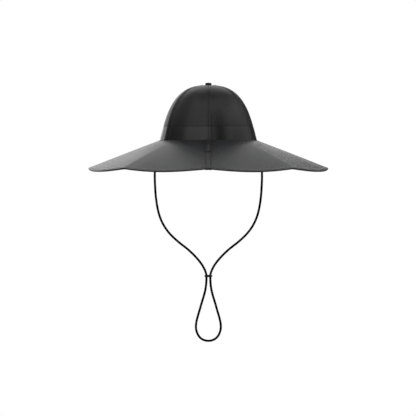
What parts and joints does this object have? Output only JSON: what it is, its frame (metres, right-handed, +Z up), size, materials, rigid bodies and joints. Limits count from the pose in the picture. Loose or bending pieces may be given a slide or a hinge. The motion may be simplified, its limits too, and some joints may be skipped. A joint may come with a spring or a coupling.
{
  "type": "wide brim sun hat with chin cord",
  "caption": "Black wide brim sun hat: panelled crown with a glossy band and a top button, a sloping folded brim, and a chin cord loop with a slider.",
  "frame": {"origin": "centre of the head opening, level with the line where crown and brim meet", "axes": "+Z up through the crown, -Y to the front, where the brim's seam tape is, +X to the right seen from there"},
  "size_m": [0.4408, 0.4662, 0.477],
  "materials": {
    "crown_cloth": "charcoal woven cloth, fine plain weave, slight sheen",
    "gloss_band": "near black coated cloth, glossy, smoother than the crown",
    "brim_cloth": "charcoal stiffened cloth, fine weave, satin sheen",
    "black_tape": "black woven tape, matt",
    "black_cord": "black braided round cord, matt",
    "dark_plastic": "dark grey moulded plastic, satin"
  },
  "bodies": {
    "root": {"crown_panel_front_left": "crown_cloth", "crown_panel_front_right": "crown_cloth", "crown_panel_side_left": "crown_cloth", "crown_panel_side_right": "crown_cloth", "crown_panel_back_left": "crown_cloth", "crown_panel_back_right": "crown_cloth", "crown_band": "gloss_band", "crown_button": "black_tape", "brim": "brim_cloth", "brim_seam_tape": "black_tape", "brim_tab": "black_tape", "cord_anchor_left": "black_tape", "cord_anchor_right": "black_tape", "chin_cord": "black_cord", "cord_slider": "dark_plastic"}
  },
  "joints": []
}
